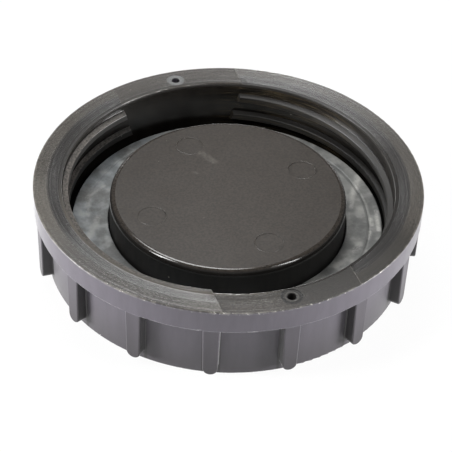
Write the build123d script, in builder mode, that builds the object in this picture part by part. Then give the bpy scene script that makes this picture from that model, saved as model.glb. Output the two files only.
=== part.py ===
"""Oil filler cap: one moulded body with an interrupted inside thread, and its flat rubber washer.

The cap lies on its closed face with the mouth up, as it does off the engine. Z is its axis.
The thread is shaped by two cores that a wedge between them lets fall inwards, so it is cut in
two by plain strips at the front and the back. Y runs along those strips. Sizes are millimetres.
"""

import os
from math import cos, hypot, radians, sin, tan

from build123d import *

# The bore and the body around it
bore_diameter = 68.4
rim_width = 5.8
cap_height = 18.5
floor_thickness = 4.0
collar_height = 5.0
collar_overhang = 2.16
draft = 1.0
face_edge_radius = 0.6
collar_edge_radius = 0.2

# Grip ribs around the skirt
rib_count = 16
rib_turn = -0.9
rib_foot_width = 2.95
rib_set_in = 0.05
rib_bite = 1.0
rib_foot_gap = 1.9
rib_front_radius = 0.3
rib_root_radius = 0.3

# Edge of the mouth
mouth_edge_radius = 0.5
mouth_bevel_width = 1.6
mouth_bevel_drop = 0.12
lead_in_width = 3.0
lead_in_drop = 0.35

# Inside thread, right-handed, and the plain strips that interrupt it
thread_pitch = 4.7
thread_turns = 2
thread_depth = 1.3
thread_crest_width = 1.4
thread_flank_angle = 17.0
thread_crest_radius = 0.2
thread_rise = -1.05
thread_bite = 0.1
strip_width = 27.8
strip_taper = 15.0
strip_step = 0.08

# Sealing washer on the floor of the groove
washer_width = 7.5
washer_thickness = 4.3
washer_plug_gap = 0.2
washer_thread_gap = 0.5
washer_edge_radius = 0.25

# Hollow plug in the middle, which holds the washer
plug_drop = 3.6
plug_edge_radius = 1.1
plug_wall = 3.0

# Round marks left by the mould's pins
plug_mark_count = 4
plug_mark_turn = 9.0
plug_mark_diameter = 5.8
plug_mark_inset = 7.0
mark_depth = 0.08
rim_mark_diameter = 4.0
rim_hole_diameter = 1.9
rim_hole_inset = 2.5
rim_hole_depth = 4.0

# Sizes that follow from the ones above
bore_radius = bore_diameter / 2
cap_radius = bore_radius + rim_width
collar_foot = cap_height - collar_height
skirt_top_radius = cap_radius - collar_overhang
skirt_foot_radius = skirt_top_radius - collar_foot * tan(radians(draft))
crest_radius = bore_radius - thread_depth
washer_outer = crest_radius - washer_thread_gap
washer_inner = washer_outer - washer_width
plug_top = cap_height - plug_drop
plug_foot = washer_inner - washer_plug_gap
plug_radius = plug_foot - (plug_top - floor_thickness) * tan(radians(draft))
plug_mark_place = plug_radius - plug_mark_inset
recess_top = plug_top - plug_wall
recess_radius = plug_radius - plug_wall
recess_mouth_radius = recess_radius + recess_top * tan(radians(draft))
thread_hold = mouth_edge_radius + thread_bite
lead_in_radius = bore_radius + lead_in_width
rim_hole_place = bore_radius + rim_hole_inset
plug_foot_radius = washer_edge_radius
beyond = 2.0


def corner(sketch, x, z):
    """The corner of a section that lies at this radius and height on its own plane."""
    return sketch.vertices().sort_by_distance(Vector(x, z, 0))[0]


def on_skirt(edge):
    """Whether an edge lies on the skirt's own surface, between the face and the collar."""
    middle = edge.position_at(0.5)
    skirt_radius = skirt_foot_radius + middle.Z * tan(radians(draft))
    return abs(hypot(middle.X, middle.Y) - skirt_radius) < 0.01 and middle.Z < collar_foot - 0.01


# The wedge core: a slab that narrows towards the groove's floor. Where it stood there is no thread.
with BuildPart() as wedge:
    with BuildSketch(Plane.XZ) as wedge_section:
        narrowing = cap_height * tan(radians(strip_taper))
        with BuildLine():
            Polyline(
                (-strip_width / 2 + narrowing, 0),
                (strip_width / 2 - narrowing, 0),
                (strip_width / 2, cap_height),
                (strip_width / 2, cap_height + thread_pitch),
                (-strip_width / 2, cap_height + thread_pitch),
                (-strip_width / 2, cap_height),
                close=True,
            )
        make_face()
    extrude(amount=cap_radius + beyond, both=True)

# What the two thread cores take off the mouth: a shallow cone that guides the filler neck in.
with BuildPart() as lead_in:
    with BuildSketch(Plane.XZ) as lead_in_section:
        cone_slope = lead_in_drop / lead_in_width
        inner = crest_radius - beyond
        with BuildLine():
            Polyline(
                (inner, cap_height - cone_slope * (lead_in_radius - inner)),
                (lead_in_radius, cap_height),
                (lead_in_radius, cap_height + thread_pitch),
                (inner, cap_height + thread_pitch),
                close=True,
            )
        make_face()
    revolve(axis=Axis.Z)
    with Locations((0, 0, cap_height)):
        Box(strip_width, 2 * (cap_radius + beyond), 2 * thread_pitch, mode=Mode.SUBTRACT)

# One ridge of thread: a flat-crested section swept up a right-handed helix.
with BuildPart() as ridge:
    ridge_foot = cap_height + thread_rise - thread_turns * thread_pitch
    with BuildLine():
        Helix(
            pitch=thread_pitch,
            height=thread_turns * thread_pitch,
            radius=bore_radius,
            center=(0, 0, ridge_foot),
        )
    with BuildSketch(
        Plane(origin=(bore_radius, 0, ridge_foot), x_dir=(-1, 0, 0), z_dir=(0, 1, 0))
    ) as ridge_section:
        crest_half = thread_crest_width / 2
        root_half = crest_half + (thread_depth + thread_hold) * tan(radians(thread_flank_angle))
        with BuildLine():
            Polyline(
                (-thread_hold, -root_half),
                (thread_depth, -crest_half),
                (thread_depth, crest_half),
                (-thread_hold, root_half),
                close=True,
            )
        make_face()
        fillet(ridge_section.vertices().group_by(Axis.X)[-1], thread_crest_radius)
    sweep(is_frenet=True)

# The thread as moulded: the ridge starts and ends in the front strip, and both strips are clear of it.
with BuildPart() as thread:
    add(ridge.part, rotation=(0, 0, -90))
    add(wedge.part, mode=Mode.SUBTRACT)
    add(lead_in.part, mode=Mode.SUBTRACT)

# One grip rib: an upright bar almost flush with the collar. It narrows with the draft to a half circle.
with BuildPart() as rib:
    rib_front = Plane(origin=(cap_radius - rib_set_in, 0, collar_foot), x_dir=(0, 1, 0), z_dir=(1, 0, 0))
    end_radius = rib_foot_width / 2
    end_centre = rib_foot_gap + end_radius - collar_foot
    with BuildSketch(rib_front):
        side_x = end_radius * cos(radians(draft))
        side_foot = end_centre - end_radius * sin(radians(draft))
        side_top = 2 * collar_edge_radius
        flare = (side_top - side_foot) * tan(radians(draft))
        with BuildLine():
            Polyline(
                (-side_x, side_foot),
                (side_x, side_foot),
                (side_x + flare, side_top),
                (-side_x - flare, side_top),
                close=True,
            )
        make_face()
        with Locations((0, end_centre)):
            Circle(end_radius)
    extrude(amount=-(cap_radius - rib_set_in - skirt_foot_radius + rib_bite))
    front_face = rib.faces().sort_by(Axis.X)[-1]
    fillet(front_face.edges().sort_by(Axis.Z)[:-1], rib_front_radius)

with BuildPart() as cap_body:
    # The turned form: collar, skirt, groove, hollow plug and the plain recess behind it
    with BuildSketch(Plane.XZ) as section:
        with BuildLine():
            Polyline(
                (recess_mouth_radius, 0),
                (skirt_foot_radius, 0),
                (skirt_top_radius, collar_foot),
                (cap_radius, collar_foot),
                (cap_radius, cap_height),
                (bore_radius + mouth_bevel_width, cap_height),
                (bore_radius, cap_height - mouth_bevel_drop),
                (bore_radius, floor_thickness),
                (plug_foot, floor_thickness),
                (plug_radius, plug_top),
                (0, plug_top),
                (0, recess_top),
                (recess_radius, recess_top),
                close=True,
            )
        make_face()
        fillet(corner(section, skirt_foot_radius, 0), face_edge_radius)
        fillet(corner(section, recess_mouth_radius, 0), face_edge_radius)
        fillet(corner(section, recess_radius, recess_top), plug_wall / 2)
        fillet(corner(section, cap_radius, collar_foot), collar_edge_radius)
        fillet(corner(section, cap_radius, cap_height), collar_edge_radius)
        fillet(corner(section, bore_radius, cap_height - mouth_bevel_drop), mouth_edge_radius)
        fillet(corner(section, plug_foot, floor_thickness), plug_foot_radius)
        fillet(corner(section, plug_radius, plug_top), plug_edge_radius)
    revolve(axis=Axis.Z)

    # Lead-in over the two threaded arcs, with its inner edge rounded like the rest of the mouth
    add(lead_in.part, mode=Mode.SUBTRACT)
    add(thread.part)

    # Grip ribs, with a small fillet where each meets the skirt
    with PolarLocations(0, rib_count, start_angle=rib_turn):
        add(rib.part)
    fillet(cap_body.edges(Select.LAST).filter_by(on_skirt), rib_root_radius)

    # The wedge core stood a little proud, so the strips' lands lie lower and show a step
    with Locations((0, 0, cap_height)):
        Box(strip_width, 2 * (cap_radius + beyond), 2 * strip_step, mode=Mode.SUBTRACT)

    # Pin marks on the plug, and ringed pin holes in the two lands
    with BuildSketch(Plane.XY.offset(plug_top)):
        with PolarLocations(plug_mark_place, plug_mark_count, start_angle=plug_mark_turn):
            Circle(plug_mark_diameter / 2)
    extrude(amount=-mark_depth, mode=Mode.SUBTRACT)
    land = cap_height - strip_step
    with BuildSketch(Plane.XY.offset(land)):
        with PolarLocations(rim_hole_place, 2, start_angle=90):
            Circle(rim_mark_diameter / 2)
    extrude(amount=-mark_depth, mode=Mode.SUBTRACT)
    with BuildSketch(Plane.XY.offset(land)):
        with PolarLocations(rim_hole_place, 2, start_angle=90):
            Circle(rim_hole_diameter / 2)
    extrude(amount=-rim_hole_depth, mode=Mode.SUBTRACT)

# The washer slips over the plug and drops past the thread's crests, with a little room at both.
with BuildPart() as sealing_washer:
    with BuildSketch(Plane.XY.offset(floor_thickness)):
        Circle(washer_outer)
        Circle(washer_inner, mode=Mode.SUBTRACT)
    extrude(amount=washer_thickness)
    fillet(sealing_washer.edges().filter_by(GeomType.CIRCLE), washer_edge_radius)

cap_body.part.label = "cap_body"
sealing_washer.part.label = "sealing_washer"

os.makedirs("parts", exist_ok=True)
export_step(cap_body.part, "parts/cap_body.step")
export_step(sealing_washer.part, "parts/sealing_washer.step")
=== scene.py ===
"""Finishes for an oil filler cap that lies on its closed face with its mouth up.

The cap's body keeps its solid and gets the surface of black moulded nylon. The rubber washer is
modelled again with the creases that use has pressed into it, and the traces that the mould left are
added: thin lips round the pin marks on the plug.
Lengths in the script are metres unless a name or a comment says millimetres.
"""

import math
from types import SimpleNamespace

import bpy
import numpy as np
from mathutils import Matrix, Vector


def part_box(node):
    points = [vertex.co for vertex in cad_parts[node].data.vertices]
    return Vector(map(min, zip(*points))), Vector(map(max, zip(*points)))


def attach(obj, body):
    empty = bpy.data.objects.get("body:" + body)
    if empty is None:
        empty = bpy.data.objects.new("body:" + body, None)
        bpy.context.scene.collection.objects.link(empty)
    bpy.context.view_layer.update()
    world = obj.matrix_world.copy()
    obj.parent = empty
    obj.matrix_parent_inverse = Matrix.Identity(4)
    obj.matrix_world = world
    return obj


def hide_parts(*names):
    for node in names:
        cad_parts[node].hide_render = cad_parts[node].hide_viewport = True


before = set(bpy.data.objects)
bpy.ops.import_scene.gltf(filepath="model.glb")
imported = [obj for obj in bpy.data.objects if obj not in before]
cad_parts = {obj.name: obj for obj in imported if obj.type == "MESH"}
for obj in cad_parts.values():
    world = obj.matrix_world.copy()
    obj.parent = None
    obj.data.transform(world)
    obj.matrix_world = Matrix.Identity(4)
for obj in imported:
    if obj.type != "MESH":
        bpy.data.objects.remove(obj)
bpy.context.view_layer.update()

bl_info = {
    "name": "Oil Filler Cap Finish",
    "version": (1, 0, 0),
    "blender": (4, 5, 0),
    "location": "3D View > Sidebar > Filler Cap",
    "description": "Finishes, rubber washer, mould traces and studio for an oil filler cap",
    "category": "Object",
}

MM = 0.001

# Places on the cap's body, read from the frame or repeated from its drawing, in millimetres
BODY_LOW, BODY_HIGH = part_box("cap_body")
WASHER_LOW, WASHER_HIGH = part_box("sealing_washer")
RIM_Z = BODY_HIGH.z / MM
RIM_RADIUS = BODY_HIGH.x / MM
FLOOR_Z = WASHER_LOW.z / MM
BORE_RADIUS = 34.2
CREST_RADIUS = 32.9
LEAD_IN_RADIUS = 37.2
COLLAR_FOOT_Z = 13.5
STRIP_HALF = 13.9
PLUG_Z = 14.9
PLUG_RADIUS = 24.5
MARK_COUNT = 4
MARK_CIRCLE_RADIUS = 17.5
MARK_TURN = 9.0
LIP_RADIUS = 2.94
LIP_POINTS = 160
PIN_HOLE_CIRCLE_RADIUS = 36.7
PIN_RING_RADIUS = 2.0
RIB_COUNT = 16
RIB_TURN = -0.9

# Directions from the axis, as x and y
LEFT = (-1.0, 0.0)
FRONT_LEFT = (-0.77, -0.64)
FRONT = (-0.42, -0.91)
FRONT_RIGHT = (0.42, -0.91)

# Pitch of the turned rings and width of the cells that hold specks of dust, in millimetres
TURNED_RING_PITCH = 0.05
DUST_CELL = 3.5

# Strokes on the washer's top: start and end as x and y, width, all in millimetres, and strength
WASHER_SCUFFS = (
    ((31.6, 4.8), (28.3, -0.4), 2.2, 1.0),
    ((28.1, -0.7), (26.2, -4.4), 1.6, 0.6),
    ((27.6, -5.6), (26.6, -8.0), 2.6, 0.5),
    ((28.6, -9.2), (28.2, -11.0), 1.6, 0.8),
    ((30.8, -7.0), (28.9, -13.0), 1.3, 0.9),
    ((26.9, -13.0), (25.9, -14.8), 1.4, 0.7),
    ((23.5, -15.9), (21.5, -17.6), 2.2, 0.5),
    ((18.6, -19.4), (16.0, -21.0), 1.8, 0.5),
    ((-26.6, 14.4), (-21.8, 17.4), 1.2, 0.3),
    ((-27.6, 9.0), (-26.0, 14.8), 1.8, 0.35),
    ((-29.4, 2.0), (-25.8, 7.6), 2.2, 0.35),
)
WASHER_STAINS = (
    ((29.9, 5.6), (28.4, 8.4), 2.8, 0.6),
    ((30.3, -4.6), (29.6, -7.4), 1.6, 0.7),
    ((27.0, -14.8), (26.0, -16.2), 1.5, 0.7),
    ((21.4, -15.1), (19.2, -16.8), 2.4, 0.6),
)

# Points of the washer's grid: in each rounded corner, across its top and round it
CORNER_POINTS = 7
TOP_POINTS = 90
ROUND_POINTS = 720

WHITE = (1.0, 1.0, 1.0, 1.0)
BLACK = (0.0, 0.0, 0.0, 1.0)

# The floor's card: width in metres, how far it lies under the cap, and its level of white
CARD_WIDTH = 3.0
CARD_GAP = 0.02 * MM
CARD_LEVEL = 0.86

# The camera's sensor width and focal length, in millimetres
SENSOR_WIDTH = 36.0
FOCAL_LENGTH = 124.18

# Softboxes: name, azimuth from the camera's right and elevation in degrees, then distance, width, height in
# metres, and power in watts
LAMPS = (
    ("left_softbox", 188.0, 8.0, 0.60, 0.20, 0.09, 7.2),
    ("right_softbox", -9.0, 8.0, 0.60, 0.20, 0.09, 6.4),
    ("left_strip_lamp", 200.0, 48.0, 0.60, 0.09, 0.24, 1.8),
    ("right_strip_lamp", -20.0, 48.0, 0.60, 0.08, 0.24, 1.05),
    ("top_softbox", 112.0, 64.0, 0.62, 0.30, 0.20, 1.9),
)


def linear(code):
    """The linear colour of an sRGB hex value: c / 12.92 below 0.04045, else ((c + 0.055) / 1.055) ** 2.4."""
    srgb = [int(code[i : i + 2], 16) / 255 for i in (0, 2, 4)]
    return tuple(c / 12.92 if c <= 0.04045 else ((c + 0.055) / 1.055) ** 2.4 for c in srgb)


def colour_property(name, description, code):
    """A colour that the panel shows, with its default given as an sRGB hex value."""
    return bpy.props.FloatVectorProperty(
        name=name, description=description, default=linear(code), subtype="COLOR", size=3, min=0.0, max=1.0
    )


def length_property(name, description, millimetres):
    """A length that the panel shows, with its default given in millimetres."""
    return bpy.props.FloatProperty(
        name=name, description=description, default=millimetres * MM, subtype="DISTANCE", unit="LENGTH",
        precision=5,
    )


class CapFinish(bpy.types.PropertyGroup):
    """Colours of the moulded body."""

    skin: colour_property("Moulded skin", "Black nylon as it left the polished mould", "211F1D")
    plug: colour_property("Plug's face", "The same nylon, dulled by oil and wiping", "2F2A25")
    worn: colour_property("Worn land", "Nylon greyed by handling on the rim's outer land", "37332D")
    cored: colour_property("Cored band", "Smoother nylon of the lead-in, shaped by the cores", "14110E")
    outer: colour_property("Outside", "Violet grey nylon of the collar, the skirt and the ribs", "4A464E")
    # This colour is old oil and also painted shade: in the bore, on the land's strips and front, and beside
    # the ribs
    oil_and_shade: colour_property("Oiled wall", "Nylon of the bore, dark with old oil", "12100E")
    # This colour carries painted light on the thread's upper flanks, paler on the left and darker on the right
    ridge: colour_property("Thread", "Nylon of the thread, rubbed by the filler neck", "363330")
    film: colour_property("Oil film", "Old oil dried brown at the back right of the bore", "40382A")
    pin: colour_property("Pin ring", "Dry ring that the mould's pin left at the back", "5E5F5F")
    dust: colour_property("Dust", "Pale specks of dust and fibre ends", "9A968E")
    nick: colour_property("Nick", "Nylon that whitened where it was knocked", "D8D4CC")


class WasherShape(bpy.types.PropertyGroup):
    """Sizes and colours of the used rubber washer."""

    edge: length_property("Edge radius", "Rounding of the washer's edges", 0.25)
    crease_radius: length_property("Crease radius", "Radius of the print that the filler neck left", 29.7)
    crease_depth: length_property("Crease depth", "Depth of that print", 0.10)
    crease_width: length_property("Crease width", "Width of that print", 0.45)
    waviness: length_property("Waviness", "How far the top face wanders up and down", 0.04)
    raggedness: length_property("Raggedness", "How far the punched inner edge wanders in and out", 0.09)
    rubber: colour_property("Rubber", "Oil-resistant rubber with its pale bloom", "838481")
    dry: colour_property("Dry rubber", "Drier and bluer rubber on the left", "80878B")
    bloom: colour_property("Bloom", "Pale bloom and scuffs", "BCBBB6")
    # This colour also carries painted shade in the neck's print
    stain: colour_property("Stain", "Dark oily patches", "606160")


class MouldTraces(bpy.types.PropertyGroup):
    """Sizes of what the mould left standing proud."""

    lip_height: length_property("Lip height", "Height of the lip round each pin mark on the plug", 0.08)
    lip_width: length_property("Lip width", "Width of that lip", 0.2)


class StudioSetup(bpy.types.PropertyGroup):
    """Camera and lamps."""

    turn: bpy.props.FloatProperty(
        name="Turn", description="How far the camera stands round from the front",
        default=math.radians(-20.4), subtype="ANGLE", unit="ROTATION",
    )
    elevation: bpy.props.FloatProperty(
        name="Elevation", description="Camera's height over the rim's plane", default=math.radians(38.64),
        subtype="ANGLE", unit="ROTATION",
    )
    roll: bpy.props.FloatProperty(
        name="Roll", description="Camera's tilt about its own line of sight", default=math.radians(2.45),
        subtype="ANGLE", unit="ROTATION",
    )
    distance: bpy.props.FloatProperty(
        name="Distance", description="From the rim's centre to the camera", default=0.32, subtype="DISTANCE",
        unit="LENGTH",
    )
    aim_right: length_property("Aim to the right", "Where the camera looks, right of the rim's centre", -0.18)
    aim_back: length_property("Aim back", "Where the camera looks, behind the rim's centre", -14.92)
    sky: bpy.props.FloatProperty(
        name="Sky", description="Strength of the even white light", default=0.22, min=0.0
    )
    lamps: bpy.props.FloatProperty(
        name="Lamps", description="Power of all softboxes, as a share of their own", default=1.0, min=0.0
    )


def put(tree, kind, inputs=(), **settings):
    """Adds a shader node. inputs gives each socket, by name or number, a value or another node's output."""
    node = tree.nodes.new(kind)
    for name, value in settings.items():
        setattr(node, name, value)
    for socket, value in dict(inputs).items():
        if isinstance(value, bpy.types.NodeSocket):
            tree.links.new(value, node.inputs[socket])
        else:
            node.inputs[socket].default_value = value
    return node


def calculate(tree, operation, first, *others):
    """The result of one operation on numbers or outputs, taken one after the other."""
    if not others:
        return put(tree, "ShaderNodeMath", {0: first}, operation=operation).outputs[0]
    for other in others:
        first = put(tree, "ShaderNodeMath", {0: first, 1: other}, operation=operation).outputs[0]
    return first


def product(tree, *values):
    """All values times one another."""
    return calculate(tree, "MULTIPLY", *values)


def total(tree, *values):
    """The sum of all values."""
    return calculate(tree, "ADD", *values)


def rest(tree, value):
    """What is left of 1 when value is taken away."""
    return calculate(tree, "SUBTRACT", 1.0, value)


def ramp(tree, value, low, high):
    """0 below low, 1 above high and a smooth S between them. low may be over high, which turns it round."""
    inputs = {"Value": value, 1: low, 2: high, 3: 0.0, 4: 1.0}
    if low > high:
        inputs = {"Value": value, 1: high, 2: low, 3: 1.0, 4: 0.0}
    return put(tree, "ShaderNodeMapRange", inputs, interpolation_type="SMOOTHSTEP").outputs[0]


def between(tree, value, low, high, soft):
    """1 where value lies between low and high, falling to 0 over soft on either side."""
    return product(tree, ramp(tree, value, low - soft, low), ramp(tree, value, high + soft, high))


def rgba(colour):
    """A panel colour with its alpha."""
    return (*colour, 1.0)


def blend(tree, factor, first, second):
    """first where factor is 0 and second where it is 1, for colours."""
    inputs = {"Factor": factor, 6: first, 7: second}
    return put(tree, "ShaderNodeMix", inputs, data_type="RGBA").outputs[2]


def tone(tree, factor, colour, low, high):
    """A panel colour times low where factor is 0 and times high where it is 1."""
    return blend(tree, factor, rgba([c * low for c in colour]), rgba([c * high for c in colour]))


def clouds(tree, place, size, detail=2.0, roughness=0.5):
    """Smooth clouds from 0 to 1 that are about size millimetres across."""
    inputs = {"Vector": place, "Scale": 1 / size, "Detail": detail, "Roughness": roughness}
    return put(tree, "ShaderNodeTexNoise", inputs).outputs["Fac"]


def wall_place(tree, around, length_round, length_up):
    """A place on the bore's wall, unrolled and stretched so that clouds of size 1 are that many mm long."""
    across = product(tree, around.angle, BORE_RADIUS / length_round)
    up = calculate(tree, "DIVIDE", around.z, length_up)
    return put(tree, "ShaderNodeCombineXYZ", {0: across, 1: up, 2: 0.0}).outputs[0]


def toward(tree, around, direction):
    """How far a place lies in a direction from the axis: about 1 along it and 0 a quarter turn away."""
    along = total(tree, product(tree, around.x, direction[0]), product(tree, around.y, direction[1]))
    return calculate(tree, "DIVIDE", along, around.radius)


def stroke(tree, place, start, end, width):
    """1 along the middle of a straight stroke from start to end, falling to 0 at half its width.

    Places are taken from start. The nearest point is the stroke's direction times the share of the
    place that lies along it, kept between the two ends.
    """
    run = Vector(end) - Vector(start)
    unit = run.normalized()
    offset = put(tree, "ShaderNodeVectorMath", {0: place, 1: start}, operation="SUBTRACT").outputs[0]
    along = put(tree, "ShaderNodeVectorMath", {0: offset, 1: unit}, operation="DOT_PRODUCT").outputs["Value"]
    along = calculate(tree, "MINIMUM", calculate(tree, "MAXIMUM", along, 0.0), run.length)
    nearest = put(tree, "ShaderNodeVectorMath", {0: unit, "Scale": along}, operation="SCALE").outputs[0]
    away = put(tree, "ShaderNodeVectorMath", {0: offset, 1: nearest}, operation="DISTANCE").outputs["Value"]
    return ramp(tree, away, width / 2, width * 0.1)


def material_start(name):
    """A new material with its tree, shader and object coordinates in millimetres."""
    material = bpy.data.materials.new(name)
    material.use_nodes = True
    tree = material.node_tree
    tree.nodes.clear()
    shader = put(tree, "ShaderNodeBsdfPrincipled")
    put(tree, "ShaderNodeOutputMaterial", {"Surface": shader.outputs[0]})
    coordinates = put(tree, "ShaderNodeTexCoord").outputs["Object"]
    place = put(tree, "ShaderNodeVectorMath", {0: coordinates, "Scale": 1 / MM}, operation="SCALE").outputs[0]
    return material, tree, shader, place


def round_axis(tree, place):
    """A place in millimetres, with its x, y, z and its radius from the cap's axis."""
    x, y, z = put(tree, "ShaderNodeSeparateXYZ", {0: place}).outputs
    radius = calculate(tree, "SQRT", total(tree, product(tree, x, x), product(tree, y, y)))
    return SimpleNamespace(place=place, x=x, y=y, z=z, radius=radius)


def body_patterns(tree, around):
    """The grains of the nylon and of its wear, each from 0 to 1, sized in millimetres."""
    place = around.place
    rings = {"W": around.radius, "Scale": 1 / TURNED_RING_PITCH, "Detail": 2.0}
    return SimpleNamespace(
        speckle=clouds(tree, place, 0.45, 3.0, 0.7),
        mottle=clouds(tree, place, 0.8, 3.0, 0.6),
        cloud=clouds(tree, place, 5.0, 3.0, 0.55),
        fine=clouds(tree, place, 0.5, 4.0, 0.7),
        rings=put(tree, "ShaderNodeTexNoise", rings, noise_dimensions="1D").outputs["Fac"],
        streak=clouds(tree, wall_place(tree, around, 1.5, 9.0), 1.0, 3.0, 0.6),
        film=clouds(tree, wall_place(tree, around, 7.0, 0.5), 1.0, 3.0, 0.6),
    )


def body_zones(tree, around):
    """The body's zones, each 1 inside and 0 outside, by radius, x and height in millimetres."""
    x, y, z, radius = around.x, around.y, around.z, around.radius
    zones = SimpleNamespace()
    zones.face = product(
        tree, ramp(tree, z, RIM_Z - 0.5, RIM_Z - 0.35), ramp(tree, radius, RIM_RADIUS, RIM_RADIUS - 0.15)
    )
    zones.strip = between(tree, x, -STRIP_HALF, STRIP_HALF, 0.08)
    zones.cone = ramp(tree, radius, LEAD_IN_RADIUS + 0.3, LEAD_IN_RADIUS - 0.4)
    zones.band = product(tree, zones.cone, zones.face, rest(tree, zones.strip))
    zones.plug = product(
        tree, ramp(tree, radius, PLUG_RADIUS, PLUG_RADIUS - 0.6), ramp(tree, z, PLUG_Z - 0.5, PLUG_Z - 0.2)
    )
    zones.mouth = product(
        tree,
        between(tree, radius, BORE_RADIUS - 0.1, BORE_RADIUS + 0.7, 0.15),
        ramp(tree, z, RIM_Z - 1.3, RIM_Z - 0.9),
    )
    zones.groove = product(
        tree,
        between(tree, radius, PLUG_RADIUS - 0.4, BORE_RADIUS + 0.1, 0.1),
        between(tree, z, FLOOR_Z - 0.1, PLUG_Z - 1.6, 0.4),
    )
    bore = product(
        tree,
        between(tree, radius, CREST_RADIUS - 0.3, BORE_RADIUS + 0.1, 0.1),
        ramp(tree, z, RIM_Z - 0.6, RIM_Z - 1.2),
        ramp(tree, z, FLOOR_Z - 0.5, FLOOR_Z - 0.1),
    )
    zones.wall = calculate(tree, "MAXIMUM", bore, zones.groove)
    zones.ridge = product(
        tree, between(tree, radius, CREST_RADIUS - 0.3, BORE_RADIUS - 0.25, 0.1), ramp(tree, z, 8.4, 8.6)
    )

    # The outside, the skirt under the collar, and the ribs on it, by the distance from a rib's middle
    zones.outside = product(
        tree, ramp(tree, radius, 37.3, 37.5), ramp(tree, z, RIM_Z - 0.05, RIM_Z - 0.2)
    )
    zones.skirt = product(tree, zones.outside, ramp(tree, z, COLLAR_FOOT_Z + 0.1, COLLAR_FOOT_Z - 0.3))
    turn = calculate(tree, "SUBTRACT", around.angle, math.radians(RIB_TURN))
    from_rib = product(tree, calculate(tree, "PINGPONG", turn, math.pi / RIB_COUNT), radius)
    # Painted shade on the skirt beside each rib's flank
    zones.rib_side = product(
        tree, between(tree, from_rib, 1.35, 1.75, 0.2), ramp(tree, radius, 39.85, 39.6), zones.skirt
    )
    zones.rib_front = product(
        tree, ramp(tree, from_rib, 1.9, 1.6), ramp(tree, radius, 39.5, 39.8), zones.skirt
    )
    # The land's front right, where shade is painted into the colour and the turned rings are weaker
    zones.oily = product(tree, ramp(tree, toward(tree, around, FRONT_RIGHT), 0.84, 0.97), zones.face)
    return zones


def first_colours(tree, patterns, zones, finish):
    """The skin, and over it the plug's face, the greyed land and the smoother bands."""
    skin = tone(tree, ramp(tree, patterns.cloud, 0.35, 0.7), finish.skin, 0.9, 1.15)
    plug = tone(tree, ramp(tree, patterns.fine, 0.32, 0.68), finish.plug, 0.6, 1.4)
    land = tone(tree, ramp(tree, patterns.speckle, 0.35, 0.65), finish.worn, 0.45, 1.5)
    band = tone(tree, ramp(tree, patterns.cloud, 0.3, 0.7), finish.cored, 0.88, 1.14)
    colour = blend(tree, zones.plug, skin, plug)
    colour = blend(tree, zones.face, colour, land)
    return blend(tree, zones.band, colour, band)


def outside_colours(tree, around, patterns, zones, finish, colour):
    """The violet grey outside, darker to its foot, with painted shade beside the ribs and handled rib fronts.
    """
    streaked = tone(tree, ramp(tree, patterns.streak, 0.3, 0.7), finish.outer, 0.92, 1.08)
    colour = blend(tree, zones.outside, colour, streaked)
    low = product(tree, zones.outside, ramp(tree, around.z, COLLAR_FOOT_Z + 0.4, 0.0), 0.55)
    colour = blend(tree, low, colour, rgba(finish.skin))
    # Painted shade beside the ribs, in the dark wall colour
    colour = blend(tree, product(tree, zones.rib_side, 0.75), colour, rgba(finish.oil_and_shade))
    return blend(tree, product(tree, zones.rib_front, 0.32), colour, rgba(finish.skin))


def bore_colours(tree, around, patterns, zones, finish, colour):
    """Old oil and painted shade on the walls, a brown film of the oil at the back right, and painted light on
    the thread's upper flanks.
    """
    # Old oil with painted shade in the bore and the groove
    oil_and_shade = tone(tree, ramp(tree, patterns.streak, 0.35, 0.7), finish.oil_and_shade, 0.7, 1.5)
    colour = blend(tree, zones.wall, colour, oil_and_shade)
    film = product(
        tree,
        ramp(tree, patterns.film, 0.42, 0.68),
        ramp(tree, around.x, 2.0, 16.0),
        zones.wall,
        ramp(tree, around.radius, 31.0, 32.0),
        ramp(tree, around.y, 5.0, 17.0),
        0.6,
    )
    colour = blend(tree, film, colour, rgba(finish.film))
    # Painted light on the thread's upward faces, with grit, paler on the left and darker on the right
    normal = put(tree, "ShaderNodeTexCoord").outputs["Normal"]
    upward = put(tree, "ShaderNodeSeparateXYZ", {0: normal}).outputs[2]
    upper = product(tree, zones.ridge, ramp(tree, upward, 0.35, 0.8))
    grit_and_painted_light = product(tree, ramp(tree, patterns.speckle, 0.35, 0.65), ramp(tree, around.x, 0.0, -24.0))
    return blend(tree, upper, colour, tone(tree, grit_and_painted_light, finish.ridge, 0.3, 3.0))


def land_colours(tree, around, zones, finish, colour):
    """Painted highlight, painted light and painted shade along the rim's land."""
    x, y, radius = around.x, around.y, around.radius

    # A painted highlight on the front land left of the core line, and painted shade on the strips, darker
    # towards the bore
    painted_highlight = product(
        tree,
        between(tree, x, -STRIP_HALF - 8.0, -STRIP_HALF, 0.1),
        ramp(tree, x, -STRIP_HALF - 9.0, -STRIP_HALF - 3.0),
        ramp(tree, y, 0.0, -20.0),
        zones.face,
        total(tree, 0.12, product(tree, zones.band, 0.03)),
    )
    colour = blend(tree, painted_highlight, colour, rgba(finish.dust))
    # Painted shade on the strips, darker towards the bore
    shade = product(tree, zones.strip, zones.face, ramp(tree, radius, 38.6, 35.0), 0.5)
    colour = blend(tree, shade, colour, rgba(finish.oil_and_shade))

    # Painted light makes the land's left paler, painted shade darkens its front left, and painted shade
    # darkens its front right
    leftmost = ramp(tree, toward(tree, around, LEFT), 0.93, 0.995)
    # Painted light on the land's far left
    greyed = product(tree, leftmost, zones.face, rest(tree, zones.cone), 0.13)
    colour = blend(tree, greyed, colour, rgba(finish.dust))
    # Painted shade on the land's front left
    kept = product(tree, ramp(tree, toward(tree, around, FRONT_LEFT), 0.78, 0.95), zones.face, 0.34)
    colour = blend(tree, kept, colour, rgba(finish.oil_and_shade))
    # Painted shade on the land's front right
    return blend(tree, product(tree, zones.oily, 0.62), colour, rgba(finish.oil_and_shade))


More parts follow.
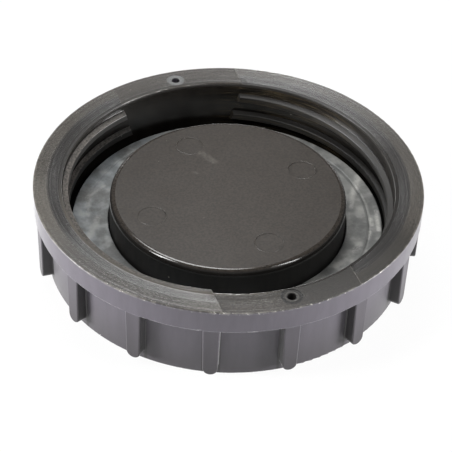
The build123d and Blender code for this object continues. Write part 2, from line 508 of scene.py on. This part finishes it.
def pin_hole_colours(tree, around, zones, finish, colour):
    """The front pin hole in an oily ring with a painted shadow for its outline and a pale line, the back one
    in a dry ring.
    """
    x = around.x
    from_pin = calculate(tree, "SUBTRACT", calculate(tree, "ABSOLUTE", around.y), PIN_HOLE_CIRCLE_RADIUS)
    from_pin = calculate(tree, "SQRT", total(tree, product(tree, x, x), product(tree, from_pin, from_pin)))
    front = ramp(tree, around.y, 1.0, -1.0)
    ring = product(tree, ramp(tree, from_pin, PIN_RING_RADIUS, PIN_RING_RADIUS - 0.15), zones.face)
    colour = blend(tree, ring, colour, blend(tree, front, rgba(finish.pin), rgba(finish.oil_and_shade)))
    # A painted shadow along the step of the front ring
    edge = between(tree, from_pin, PIN_RING_RADIUS - 0.05, PIN_RING_RADIUS + 0.1, 0.06)
    colour = blend(tree, product(tree, edge, zones.face, front, 0.9), colour, BLACK)
    line = product(tree, between(tree, from_pin, 1.15, 1.35, 0.08), zones.face, front, 0.12)
    return blend(tree, line, colour, rgba(finish.dust))


def handling_colours(tree, around, patterns, zones, finish, colour):
    """The greyed left of the mouth's edge, smears on the plug, and the line that the cores left."""
    grey = rgba([c * 1.8 for c in finish.worn])
    colour = blend(tree, zones.handled, colour, grey)
    smear = stroke(tree, around.place, (-1.3, 14.6, PLUG_Z), (0.4, 10.6, PLUG_Z), 2.4)
    smudge = stroke(tree, around.place, (-4.9, 8.7, PLUG_Z), (-4.2, 7.9, PLUG_Z), 0.9)
    either = calculate(tree, "MAXIMUM", smear, smudge)
    wiped = product(tree, either, ramp(tree, patterns.mottle, 0.2, 0.8), 0.16)
    colour = blend(tree, wiped, colour, rgba(finish.dust))
    line = calculate(tree, "SUBTRACT", calculate(tree, "ABSOLUTE", around.x), STRIP_HALF)
    line = ramp(tree, calculate(tree, "ABSOLUTE", line), 0.16, 0.05)
    line = product(tree, line, ramp(tree, patterns.mottle, 0.42, 0.6), zones.face, 0.22)
    return blend(tree, line, colour, rgba(finish.dust))


def dust_and_nicks(tree, around, finish, colour):
    """Specks of dust in about one cell in three, and a knocked outer edge, most of all at the front."""
    place = around.place
    cells = put(tree, "ShaderNodeTexVoronoi", {"Vector": place, "Scale": 1 / DUST_CELL, "Randomness": 1.0})
    draw = put(tree, "ShaderNodeSeparateColor", {0: cells.outputs["Color"]}).outputs[0]
    speck = product(tree, ramp(tree, draw, 0.66, 0.7), ramp(tree, cells.outputs["Distance"], 0.06, 0.02), 0.7)
    colour = blend(tree, speck, colour, rgba(finish.dust))

    # Wear 1.2 mm long and nicks 0.5 mm across
    edge = product(
        tree,
        ramp(tree, around.radius, RIM_RADIUS - 0.4, RIM_RADIUS - 0.2),
        ramp(tree, around.z, RIM_Z - 0.5, RIM_Z - 0.25),
    )
    worn = product(tree, edge, ramp(tree, clouds(tree, place, 1.2), 0.38, 0.65), 0.25)
    colour = blend(tree, worn, colour, rgba(finish.dust))
    exposed = product(tree, ramp(tree, toward(tree, around, FRONT), 0.2, 0.95), 0.1)
    knocked = total(tree, clouds(tree, place, 0.5, 2.0, 0.6), exposed)
    nick = product(tree, edge, ramp(tree, knocked, 0.72, 0.78), 0.8)
    return blend(tree, nick, colour, rgba(finish.nick))


def nylon_roughness(tree, around, patterns, zones):
    """Satin skin, duller land and outside, glossier oiled wall and rounded edges of plug and mouth."""
    plug_edge = product(
        tree,
        ramp(tree, around.radius, PLUG_RADIUS - 1.3, PLUG_RADIUS - 0.9),
        ramp(tree, around.radius, PLUG_RADIUS + 1.0, PLUG_RADIUS + 0.5),
        ramp(tree, around.z, PLUG_Z - 1.5, PLUG_Z - 1.1),
    )
    plug_side = product(tree, ramp(tree, around.radius, 30.0, 29.0), zones.groove)
    return total(
        tree,
        0.28,
        product(tree, zones.face, 0.06),
        product(tree, patterns.cloud, 0.12),
        product(tree, zones.outside, 0.1),
        product(tree, plug_edge, -0.2),
        product(tree, zones.mouth, rest(tree, zones.handled), ramp(tree, around.y, 10.0, -6.0), -0.2),
        product(tree, zones.wall, -0.1),
        product(tree, plug_side, 0.4),
        product(tree, zones.ridge, 0.25),
    )


def nylon_relief(tree, around, patterns, zones):
    """Rings turned on the rim's face, with fine orange peel and grit over them, as a bumped normal.

    The rings are drawn 0.05 mm apart, and are deepest where the lead-in's bands are.
    """
    level = product(
        tree,
        zones.face,
        between(tree, around.radius, BORE_RADIUS + 0.8, RIM_RADIUS - 0.4, 0.3),
        rest(tree, product(tree, zones.strip, 0.45)),
        total(tree, 0.6, product(tree, zones.band, 0.35)),
        rest(tree, product(tree, zones.oily, 0.5)),
    )
    rings = {"Height": product(tree, patterns.rings, level), "Strength": 1.0, "Distance": 0.16 * MM}
    turned = put(tree, "ShaderNodeBump", rings).outputs[0]
    coarse = total(tree, 2.0, product(tree, ramp(tree, around.x, -10.0, -30.0), 1.6))
    grit = product(tree, patterns.speckle, zones.face, coarse)
    height = total(tree, product(tree, patterns.mottle, 0.4), grit)
    skin = {"Height": height, "Strength": 0.5, "Distance": 0.03 * MM, "Normal": turned}
    return put(tree, "ShaderNodeBump", skin).outputs[0]


def nylon_dryness(tree, around, patterns, zones):
    """How dry and pale the skin has gone, which scatters light at a slant.

    Most of it is outside, hands have polished the ribs, and oil hides it in the groove. The land's
    speckle is in it too, most of all on the left.
    """
    polished = rest(tree, product(tree, zones.rib_front, 0.7))
    dry = total(tree, product(tree, rest(tree, zones.wall), 0.7), product(tree, zones.outside, 0.3))
    grain = product(
        tree,
        calculate(tree, "SUBTRACT", ramp(tree, patterns.speckle, 0.38, 0.62), 0.5),
        zones.face,
        total(tree, 0.35, product(tree, ramp(tree, around.x, -5.0, -30.0), 0.65)),
        calculate(tree, "SUBTRACT", 0.9, product(tree, zones.band, 0.6)),
    )
    return calculate(tree, "MAXIMUM", total(tree, product(tree, dry, polished), grain), 0.0)


def moulded_nylon(finish):
    """Black glass-filled nylon, injection moulded.

    The eye sees a satin skin that pales at a slant, a rim land greyed and speckled by handling with fine
    rings turned into the mould's insert and with painted light and painted shade on it, smoother bands where
    the cores stood, a bore dark with oil and painted shade, painted light on the thread's upper flanks, and a
    violet grey outside with painted shade beside the ribs and whitened nicks along its upper edge.
    """
    material, tree, shader, place = material_start("moulded_black_nylon")
    around = round_axis(tree, place)
    around.angle = calculate(tree, "ARCTAN2", around.y, around.x)
    patterns = body_patterns(tree, around)
    zones = body_zones(tree, around)
    zones.handled = product(
        tree, zones.mouth, ramp(tree, around.x, 4.0, -14.0), ramp(tree, around.y, 12.0, -6.0), 0.8
    )

    colour = first_colours(tree, patterns, zones, finish)
    colour = outside_colours(tree, around, patterns, zones, finish, colour)
    colour = bore_colours(tree, around, patterns, zones, finish, colour)
    colour = land_colours(tree, around, zones, finish, colour)
    colour = pin_hole_colours(tree, around, zones, finish, colour)
    colour = handling_colours(tree, around, patterns, zones, finish, colour)
    colour = dust_and_nicks(tree, around, finish, colour)
    tree.links.new(colour, shader.inputs["Base Color"])
    tree.links.new(nylon_roughness(tree, around, patterns, zones), shader.inputs["Roughness"])
    tree.links.new(nylon_relief(tree, around, patterns, zones), shader.inputs["Normal"])
    tree.links.new(nylon_dryness(tree, around, patterns, zones), shader.inputs["Sheen Weight"])
    shader.inputs["Sheen Roughness"].default_value = 0.28
    shader.inputs["IOR"].default_value = 1.53
    return material


def rub(tree, place, height, strokes):
    """The strongest of several strokes on a level face, each with its start, end, width and strength."""
    strongest = 0.0
    for start, end, width, strength in strokes:
        mark = product(tree, stroke(tree, place, (*start, height), (*end, height), width), strength)
        strongest = calculate(tree, "MAXIMUM", strongest, mark)
    return strongest


def bloomed_rubber(washer):
    """Moulded nitrile rubber, punched into a ring and pressed by a filler neck.

    A grey bloom in soft clouds, pale scuffs and oily patches give the eye a mottled neutral grey.
    """
    material, tree, shader, place = material_start("punched_nitrile_rubber")
    around = round_axis(tree, place)

    # Clouds of bloom 6 mm across, blotches 3 mm and grain 0.3 mm across
    cloud = clouds(tree, place, 6.0, 3.0, 0.6)
    blotch = clouds(tree, place, 3.0, 2.0, 0.45)
    grain = clouds(tree, place, 0.3, 3.0, 0.7)
    rubber = blend(tree, ramp(tree, around.x, 5.0, -15.0), rgba(washer.rubber), rgba(washer.dry))
    base = blend(tree, ramp(tree, cloud, 0.34, 0.64), rgba(washer.stain), rubber)
    base = blend(tree, product(tree, ramp(tree, blotch, 0.4, 0.8), 0.4), base, rgba(washer.bloom))
    base = blend(tree, product(tree, ramp(tree, grain, 0.45, 0.75), 0.15), base, rgba(washer.bloom))

    # Stains and scuffs where the neck rubbed, broken up by the grain
    broken = ramp(tree, total(tree, grain, blotch), 0.6, 1.2)
    for strokes, colour in ((WASHER_STAINS, washer.stain), (WASHER_SCUFFS, washer.bloom)):
        rubbed = rub(tree, place, WASHER_HIGH.z / MM, strokes)
        base = blend(tree, product(tree, rubbed, broken), base, rgba(colour))

    # The neck's print has painted shade in it on the right
    print_shade = product(tree, between(tree, around.radius, 29.2, 29.5, 0.2), ramp(tree, around.x, 20.0, 26.0))
    base = blend(tree, product(tree, print_shade, 0.6), base, rgba(washer.stain))
    tree.links.new(base, shader.inputs["Base Color"])

    roughness = total(tree, 0.4, product(tree, cloud, 0.25))
    tree.links.new(roughness, shader.inputs["Roughness"])
    height = total(tree, product(tree, blotch, 0.8), product(tree, grain, 0.3))
    bump = put(tree, "ShaderNodeBump", {"Height": height, "Strength": 0.5, "Distance": 0.03 * MM})
    tree.links.new(bump.outputs[0], shader.inputs["Normal"])
    shader.inputs["IOR"].default_value = 1.52
    return material


def studio_floor(level):
    """Smooth white card. The camera and gloss see it mostly as the white it is, and its shade stays."""
    material, tree, shader = material_start("white_card")[:3]
    shader.inputs["Base Color"].default_value = (level, level, level, 1.0)
    shader.inputs["Roughness"].default_value = 1.0
    shader.inputs["Specular IOR Level"].default_value = 0.0
    paths = put(tree, "ShaderNodeLightPath").outputs
    seen = total(tree, paths["Is Camera Ray"], paths["Is Glossy Ray"], paths["Is Transmission Ray"])
    share = product(tree, calculate(tree, "MINIMUM", seen, 1.0), 0.94)
    glow = put(tree, "ShaderNodeEmission", {"Color": WHITE, "Strength": 1.0})
    mixed = put(tree, "ShaderNodeMixShader", {0: share, 1: shader.outputs[0], 2: glow.outputs[0]})
    output = next(node for node in tree.nodes if node.type == "OUTPUT_MATERIAL")
    tree.links.new(mixed.outputs[0], output.inputs["Surface"])
    return material


def grid_mesh(name, points, wrap_rows, wrap_columns, material):
    """A mesh from a grid of points of shape (rows, columns, 3), with faces between neighbours.

    A wrapped direction closes on itself. Faces point to the side that rows cross columns gives.
    """
    rows, columns = points.shape[:2]
    row_index = np.arange(rows if wrap_rows else rows - 1)
    column_index = np.arange(columns if wrap_columns else columns - 1)
    i, j = np.meshgrid(row_index, column_index, indexing="ij")
    i_next = (i + 1) % rows
    j_next = (j + 1) % columns
    here, there = i * columns, i_next * columns
    faces = np.stack([here + j, there + j, there + j_next, here + j_next], -1).reshape(-1, 4)
    mesh = bpy.data.meshes.new(name)
    mesh.vertices.add(rows * columns)
    mesh.vertices.foreach_set("co", points.astype(np.float32).ravel())
    mesh.loops.add(faces.size)
    mesh.loops.foreach_set("vertex_index", faces.astype(np.int32).ravel())
    mesh.polygons.add(len(faces))
    mesh.polygons.foreach_set("loop_start", np.arange(0, faces.size, 4, dtype=np.int32))
    mesh.polygons.foreach_set("use_smooth", np.ones(len(faces), bool))
    mesh.update(calc_edges=True)
    mesh.validate()
    mesh.materials.append(material)
    piece = bpy.data.objects.new(name, mesh)
    bpy.context.scene.collection.objects.link(piece)
    return piece


def wander(angle, seed, waves, falloff=0.8):
    """A closed wander between about -1 and 1: sines of 1 to waves cycles, each weaker than the last."""
    draw = np.random.default_rng(seed)
    cycles = np.arange(1, waves + 1)
    phase = draw.uniform(0, 2 * np.pi, waves)
    weight = cycles ** -falloff * draw.uniform(0.4, 1.0, waves)
    total = np.sin(angle[..., None] * cycles + phase) @ weight
    return total / np.abs(weight).sum() * 2.0


def smooth_step(value, low, high):
    """0 below low, 1 above high, and 3 t^2 - 2 t^3 between."""
    t = np.clip((value - low) / (high - low), 0.0, 1.0)
    return t * t * (3 - 2 * t)


def washer_points(washer):
    """The washer as a grid: a rounded rectangle carried round the axis.

    Each corner is a quarter circle of the edge radius. The top face goes down by a bell-shaped print at
    the crease radius and wanders by the waviness, and the inner wall wanders by the raggedness.
    """
    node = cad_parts["sealing_washer"]
    corners = np.empty(len(node.data.vertices) * 3)
    node.data.vertices.foreach_get("co", corners)
    corners = corners.reshape(-1, 3)
    inner = np.hypot(corners[:, 0], corners[:, 1]).min()
    outer = WASHER_HIGH.x
    low, high = WASHER_LOW.z, WASHER_HIGH.z
    edge = washer.edge

    def quarter(centre_r, centre_z, start):
        bend = math.radians(start) + np.linspace(0, math.pi / 2, CORNER_POINTS)
        return np.stack([centre_r + edge * np.cos(bend), centre_z + edge * np.sin(bend)], -1)

    across = np.linspace(outer - edge, inner + edge, TOP_POINTS)
    top = np.stack([across, np.full(TOP_POINTS, high)], -1)[1:-1]
    profile = np.concatenate(
        [
            quarter(inner + edge, low + edge, 180),
            quarter(outer - edge, low + edge, 270),
            quarter(outer - edge, high - edge, 0),
            top,
            quarter(inner + edge, high - edge, 90),
        ]
    )
    around = np.linspace(0, 2 * np.pi, ROUND_POINTS, endpoint=False)
    angle, r = np.meshgrid(around, profile[:, 0], indexing="ij")
    z = np.broadcast_to(profile[:, 1], r.shape).copy()
    upper = smooth_step(z, low + edge, high - edge)

    # The neck's print, deeper on one side because the cap was screwed down a little askew
    crease = washer.crease_radius + 0.15 * MM * wander(angle, 3, 4)
    print_depth = washer.crease_depth * (0.75 + 0.35 * np.cos(angle - 0.3))
    bell = np.exp(-(((r - crease) / (washer.crease_width / 2)) ** 2))
    shelf = 0.5 * smooth_step(r, crease, crease + 1.2 * MM) * (1 - smooth_step(r, outer - 0.8 * MM, outer))
    z -= upper * print_depth * (bell + 0.4 * shelf)
    z -= upper * washer.waviness * (0.5 + 0.5 * wander(angle + 40 * (r - inner), 11, 9))

    # The inner edge was punched unevenly
    inward = 1 - smooth_step(r, inner, inner + 1.5 * MM)
    r = r - inward * washer.raggedness * np.clip(wander(angle, 5, 60, 0.35), -1, 1)
    return np.stack([r * np.cos(angle), r * np.sin(angle), z], -1)


def bead_points(centre_line, outward, lift, width, height):
    """A low half-round bead along a line on a flat face.

    Across it, t runs from -1 to 1: the point is the line's point plus outward times t times half the width,
    and it rises along lift by height times (1 - t^2), so both edges lie on the face. A little of it is sunk.
    """
    t = np.linspace(-1, 1, 7)
    rise = (1 - t**2) * height[:, None] - 0.02 * MM
    side = t[None, :] * width / 2
    return centre_line[:, None, :] + side[..., None] * outward[:, None, :] + rise[..., None] * lift


def circle_line(centre, radius, z, count):
    """A level circle's points and outward directions."""
    angle = np.linspace(0, 2 * np.pi, count, endpoint=False)
    outward = np.stack([np.cos(angle), np.sin(angle), np.zeros(count)], -1)
    line = outward * radius + np.array([centre[0], centre[1], z])
    return angle, line, outward


class CAP_OT_dress_body(bpy.types.Operator):
    """Give the moulded body its nylon finish"""

    bl_idname = "filler_cap.dress_body"
    bl_label = "Dress the body"

    def execute(self, context):
        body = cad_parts["cap_body"]
        body.data.materials.clear()
        body.data.materials.append(moulded_nylon(context.scene.cap_finish))
        return {"FINISHED"}


class CAP_OT_build_washer(bpy.types.Operator):
    """Build the used rubber washer that stands for the plain one"""

    bl_idname = "filler_cap.build_washer"
    bl_label = "Build the washer"

    def execute(self, context):
        washer = context.scene.washer_shape
        piece = grid_mesh("used_washer", washer_points(washer), True, True, bloomed_rubber(washer))
        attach(piece, "root")
        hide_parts("sealing_washer")
        return {"FINISHED"}


class CAP_OT_add_mould_traces(bpy.types.Operator):
    """Add the lips round the pin marks on the plug"""

    bl_idname = "filler_cap.add_mould_traces"
    bl_label = "Add the mould's traces"

    def execute(self, context):
        traces = context.scene.mould_traces
        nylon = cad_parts["cap_body"].data.materials[0]
        up = np.array([0.0, 0.0, 1.0])
        for number in range(MARK_COUNT):
            direction = math.radians(MARK_TURN + 360 / MARK_COUNT * number)
            reach = MARK_CIRCLE_RADIUS * MM
            centre = (reach * math.cos(direction), reach * math.sin(direction))
            angle, line, outward = circle_line(centre, LIP_RADIUS * MM, PLUG_Z * MM, LIP_POINTS)
            uneven = 0.55 + 0.45 * wander(angle, 20 + number, 5)
            height = traces.lip_height * np.clip(uneven, 0.05, 1.2)
            points = bead_points(line, outward, up, traces.lip_width, height)
            lip = grid_mesh("pin_mark_lip_%d" % (number + 1), points, True, False, nylon)
            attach(lip, "root")
        return {"FINISHED"}


class CAP_OT_set_studio(bpy.types.Operator):
    """Set the floor, the lamps, the sky and the camera"""

    bl_idname = "filler_cap.set_studio"
    bl_label = "Set the studio"

    def execute(self, context):
        scene = context.scene
        studio = scene.studio_setup
        self.set_floor()
        self.set_sky(scene, studio)
        self.set_lamps(scene, studio)
        self.set_camera(scene, studio)
        scene.view_settings.view_transform = "Standard"
        return {"FINISHED"}

    def set_floor(self):
        """A level sheet of card, just under the cap."""
        reach = np.linspace(-CARD_WIDTH / 2, CARD_WIDTH / 2, 3)
        x, y = np.meshgrid(reach, reach, indexing="ij")
        points = np.stack([x, y, np.full_like(x, -CARD_GAP)], -1)
        floor = grid_mesh("floor", points, False, False, studio_floor(CARD_LEVEL))

    def set_sky(self, scene, studio):
        """An even, dim room, the same to the camera, to gloss and to light."""
        world = bpy.data.worlds.new("dim_room")
        world.use_nodes = True
        scene.world = world
        tree = world.node_tree
        tree.nodes.clear()
        background = put(tree, "ShaderNodeBackground", {"Color": WHITE, "Strength": studio.sky})
        put(tree, "ShaderNodeOutputWorld", {"Surface": background.outputs[0]})

    def set_lamps(self, scene, studio):
        """Softboxes round the cap, turned with the camera and aimed at the cap."""
        for name, azimuth, elevation, distance, width, height, power in LAMPS:
            lamp = bpy.data.lights.new(name, "AREA")
            lamp.shape = "RECTANGLE"
            lamp.size = width
            lamp.size_y = height
            lamp.energy = power * studio.lamps
            holder = bpy.data.objects.new(name, lamp)
            scene.collection.objects.link(holder)
            round_, up = math.radians(azimuth) + studio.turn, math.radians(elevation)
            away = Vector((math.cos(up) * math.cos(round_), math.cos(up) * math.sin(round_), math.sin(up)))
            holder.location = away * distance
            holder.rotation_euler = (-away).to_track_quat("-Z", "Y").to_euler()

    def set_camera(self, scene, studio):
        """The camera stands round by turn and up by elevation, and aims a little off the rim's centre."""
        centre = Vector((0.0, 0.0, RIM_Z * MM))
        right = Vector((math.cos(studio.turn), math.sin(studio.turn), 0.0))
        back = Vector((-math.sin(studio.turn), math.cos(studio.turn), 0.0))
        level = studio.distance * math.cos(studio.elevation)
        place = centre - back * level + Vector((0.0, 0.0, studio.distance * math.sin(studio.elevation)))
        target = centre + right * studio.aim_right + back * studio.aim_back
        forward = (target - place).normalized()
        side = forward.cross(Vector((0.0, 0.0, 1.0))).normalized()
        upward = side.cross(forward)
        tilted_side = side * math.cos(studio.roll) + upward * math.sin(studio.roll)
        tilted_up = upward * math.cos(studio.roll) - side * math.sin(studio.roll)
        camera = bpy.data.objects.new("camera", bpy.data.cameras.new("camera"))
        scene.collection.objects.link(camera)
        turned = Matrix((tilted_side, tilted_up, -forward)).transposed()
        camera.matrix_world = Matrix.Translation(place) @ turned.to_4x4()
        camera.data.sensor_width = SENSOR_WIDTH
        camera.data.lens = FOCAL_LENGTH
        camera.data.clip_start = 0.01
        camera.data.clip_end = 10.0
        scene.camera = camera


class CAP_PT_panel(bpy.types.Panel):
    """Panel that lists the steps and their settings"""

    bl_idname = "CAP_PT_panel"
    bl_label = "Filler Cap"
    bl_space_type = "VIEW_3D"
    bl_region_type = "UI"
    bl_category = "Filler Cap"

    def draw(self, context):
        for settings, step in STEPS:
            if settings:
                group = getattr(context.scene, settings)
                for name in group.bl_rna.properties.keys():
                    if name not in {"rna_type", "name"}:
                        self.layout.prop(group, name)
            self.layout.operator(step.bl_idname)


STEPS = (
    ("cap_finish", CAP_OT_dress_body),
    ("washer_shape", CAP_OT_build_washer),
    ("mould_traces", CAP_OT_add_mould_traces),
    ("studio_setup", CAP_OT_set_studio),
)
GROUPS = {
    "cap_finish": CapFinish,
    "washer_shape": WasherShape,
    "mould_traces": MouldTraces,
    "studio_setup": StudioSetup,
}


def register():
    """Makes the settings, steps and panel known to Blender."""
    for name, group in GROUPS.items():
        bpy.utils.register_class(group)
        setattr(bpy.types.Scene, name, bpy.props.PointerProperty(type=group))
    for settings, step in STEPS:
        bpy.utils.register_class(step)
    bpy.utils.register_class(CAP_PT_panel)


def unregister():
    """Takes them away again."""
    bpy.utils.unregister_class(CAP_PT_panel)
    for settings, step in STEPS:
        bpy.utils.unregister_class(step)
    for name, group in GROUPS.items():
        delattr(bpy.types.Scene, name)
        bpy.utils.unregister_class(group)


def main():
    register()
    bpy.ops.filler_cap.dress_body()
    bpy.ops.filler_cap.build_washer()
    bpy.ops.filler_cap.add_mould_traces()
    bpy.ops.filler_cap.set_studio()


if __name__ == "__main__":
    main()
